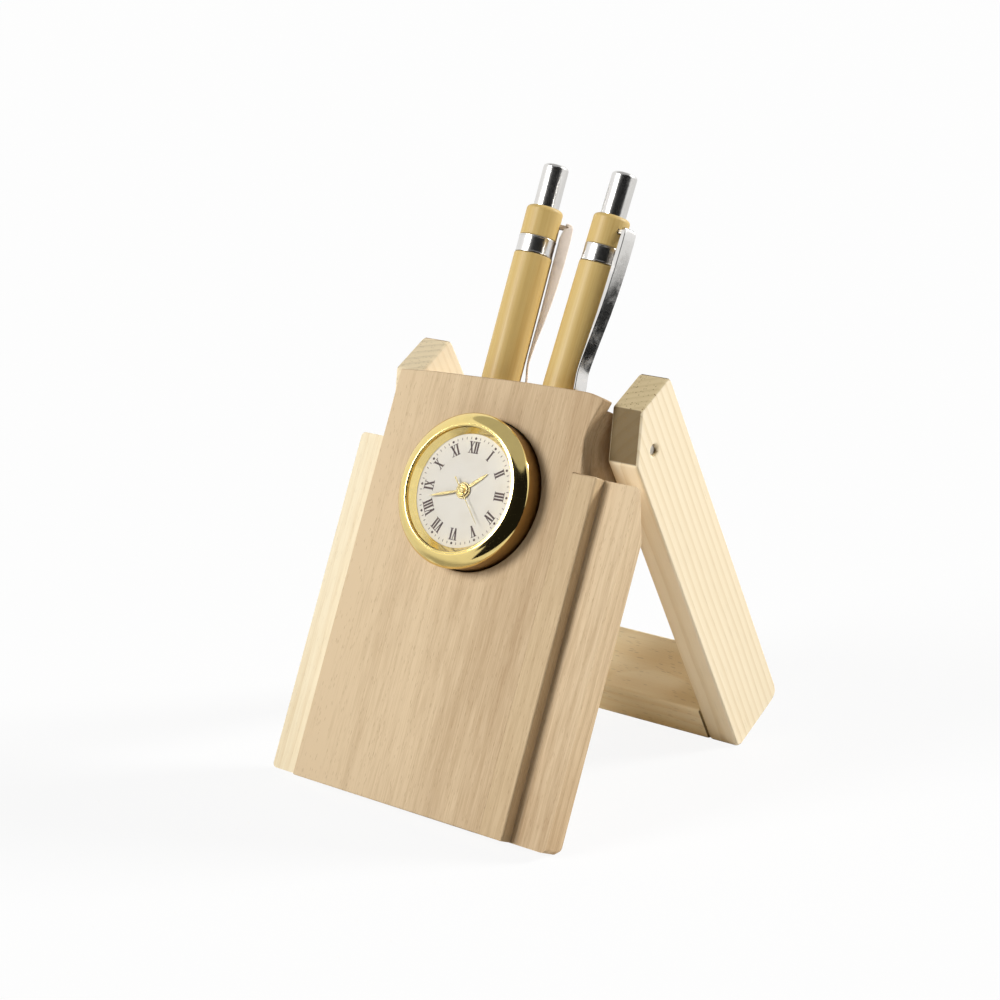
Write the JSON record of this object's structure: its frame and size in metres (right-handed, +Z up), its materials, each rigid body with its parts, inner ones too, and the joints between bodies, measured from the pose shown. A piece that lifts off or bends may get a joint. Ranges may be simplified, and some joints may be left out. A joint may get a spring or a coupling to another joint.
{
  "type": "pen holder clock",
  "caption": "Leaning wooden desk stand on a hinged rear frame, with a small round analogue clock in its face and push-button pens standing in bores at its top.",
  "frame": {"origin": "on the floor, under the middle of the outline", "axes": "+X to the viewer's right, +Y towards the back, where the frame's feet stand, and +Z up"},
  "size_m": [0.08, 0.1022, 0.1384],
  "materials": {
    "panel_wood": "satin, light brown with short dark dashes of grain",
    "stave_wood": "satin, pale brown",
    "wing_wood": "satin, cream",
    "frame_wood": "satin, cream with fine straight grain",
    "bamboo": "smooth satin, honey yellow",
    "gold": "polished gilt",
    "chrome": "polished",
    "steel": "plain",
    "brass": "plain",
    "glass": "clear and flat",
    "dial_silver": "silvery white",
    "black_plastic": "moulded",
    "white_plastic": "moulded",
    "rubber": "matt",
    "copper": "enamelled wire",
    "circuit_green": "lacquered board"
  },
  "bodies": {
    "stand": {"front_panel": "panel_wood", "front_stave": "stave_wood", "pen_block": "panel_wood", "left_wing": "wing_wood", "right_wing": "panel_wood", "left_pivot_pin": "steel", "right_pivot_pin": "steel"},
    "frame": {"left_arm": "frame_wood", "right_arm": "frame_wood", "crossbar": "frame_wood", "left_dowel": "wing_wood", "right_dowel": "wing_wood"},
    "clock": {"clock_case": "gold", "clock_bezel": "gold", "clock_crystal": "glass", "grip_ring": "rubber", "dial_ring": "gold", "dial": "dial_silver", "dial_spacer": "white_plastic", "movement_housing": "black_plastic", "main_plate": "white_plastic", "stator": "steel", "coil": "copper", "circuit_board": "circuit_green", "battery": "steel", "battery_cover": "black_plastic"},
    "seconds": {"second_hand": "gold", "seconds_wheel": "brass"},
    "third": {"third_wheel": "brass"},
    "centre": {"centre_wheel": "brass"},
    "idler": {"intermediate_wheel": "white_plastic"},
    "magnet": {"rotor": "steel"},
    "minutes": {"minute_hand": "gold", "cannon_pinion": "brass"},
    "setting": {"minute_wheel": "white_plastic", "setting_knob": "black_plastic"},
    "hours": {"hour_wheel": "brass", "hour_hand": "gold"},
    "left_pen": {"left_pen_nose": "chrome", "left_pen_barrel": "bamboo", "left_pen_ring": "chrome", "left_pen_upper": "bamboo", "left_pen_clip": "chrome", "left_pen_spring": "steel"},
    "left_click": {"left_pen_button": "chrome", "left_pen_sleeve": "white_plastic", "left_pen_refill": "white_plastic"},
    "right_pen": {"right_pen_nose": "chrome", "right_pen_barrel": "bamboo", "right_pen_ring": "chrome", "right_pen_upper": "bamboo", "right_pen_clip": "chrome", "right_pen_spring": "steel"},
    "right_click": {"right_pen_button": "chrome", "right_pen_sleeve": "white_plastic", "right_pen_refill": "white_plastic"}
  },
  "joints": [
    {"name": "frame_fold", "type": "hinge", "parent": "stand", "child": "frame", "pos_m": [0, -0.00269, 0.08119], "axis": [1, 0, 0], "range_deg": [-40, 0]},
    {"name": "clock_pull", "type": "slide", "parent": "stand", "child": "clock", "axis": [0, -0.9121, 0.4099], "range_m": [0, 0.015]},
    {"name": "seconds_turn", "type": "hinge", "parent": "clock", "child": "seconds", "pos_m": [0, -0.02307, 0.06963], "axis": [0, -0.9121, 0.4099], "continuous": true},
    {"name": "third_turn", "type": "hinge", "parent": "clock", "child": "third", "pos_m": [0.00267, -0.01983, 0.07326], "axis": [0, -0.9121, 0.4099], "continuous": true},
    {"name": "centre_turn", "type": "hinge", "parent": "clock", "child": "centre", "pos_m": [0, -0.02307, 0.06963], "axis": [0, -0.9121, 0.4099], "continuous": true},
    {"name": "idler_turn", "type": "hinge", "parent": "clock", "child": "idler", "pos_m": [-0.00313, -0.02356, 0.06495], "axis": [0, -0.9121, 0.4099], "continuous": true},
    {"name": "magnet_turn", "type": "hinge", "parent": "clock", "child": "magnet", "pos_m": [-0.0053, -0.02483, 0.06212], "axis": [0, -0.9121, 0.4099], "continuous": true},
    {"name": "minute_turn", "type": "hinge", "parent": "clock", "child": "minutes", "pos_m": [0, -0.02307, 0.06963], "axis": [0, -0.9121, 0.4099], "continuous": true},
    {"name": "setting_turn", "type": "hinge", "parent": "clock", "child": "setting", "pos_m": [0.003, -0.0244, 0.06453], "axis": [0, -0.9121, 0.4099], "continuous": true},
    {"name": "hour_turn", "type": "hinge", "parent": "clock", "child": "hours", "pos_m": [0, -0.02307, 0.06963], "axis": [0, -0.9121, 0.4099], "continuous": true},
    {"name": "left_pen_lift", "type": "slide", "parent": "stand", "child": "left_pen", "axis": [-0.0035, 0.4099, 0.9121], "range_m": [0, 0.09]},
    {"name": "left_pen_press", "type": "slide", "parent": "left_pen", "child": "left_click", "axis": [-0.0035, 0.4099, 0.9121], "range_m": [-0.005, 0], "stiffness_N_per_m": 200, "springref_m": 0.005, "deforming": ["left_pen_spring"]},
    {"name": "right_pen_lift", "type": "slide", "parent": "stand", "child": "right_pen", "axis": [0.0366, 0.4096, 0.9115], "range_m": [0, 0.09]},
    {"name": "right_pen_press", "type": "slide", "parent": "right_pen", "child": "right_click", "axis": [0.0366, 0.4096, 0.9115], "range_m": [-0.005, 0], "stiffness_N_per_m": 200, "springref_m": 0.005, "deforming": ["right_pen_spring"]}
  ],
  "couplings": [
    {"joint": "third_turn", "follows": "seconds_turn", "ratio": -0.13333},
    {"joint": "centre_turn", "follows": "seconds_turn", "ratio": 0.016667},
    {"joint": "idler_turn", "follows": "seconds_turn", "ratio": -6},
    {"joint": "magnet_turn", "follows": "seconds_turn", "ratio": 30},
    {"joint": "setting_turn", "follows": "minute_turn", "ratio": -0.33333},
    {"joint": "hour_turn", "follows": "minute_turn", "ratio": 0.083333}
  ]
}
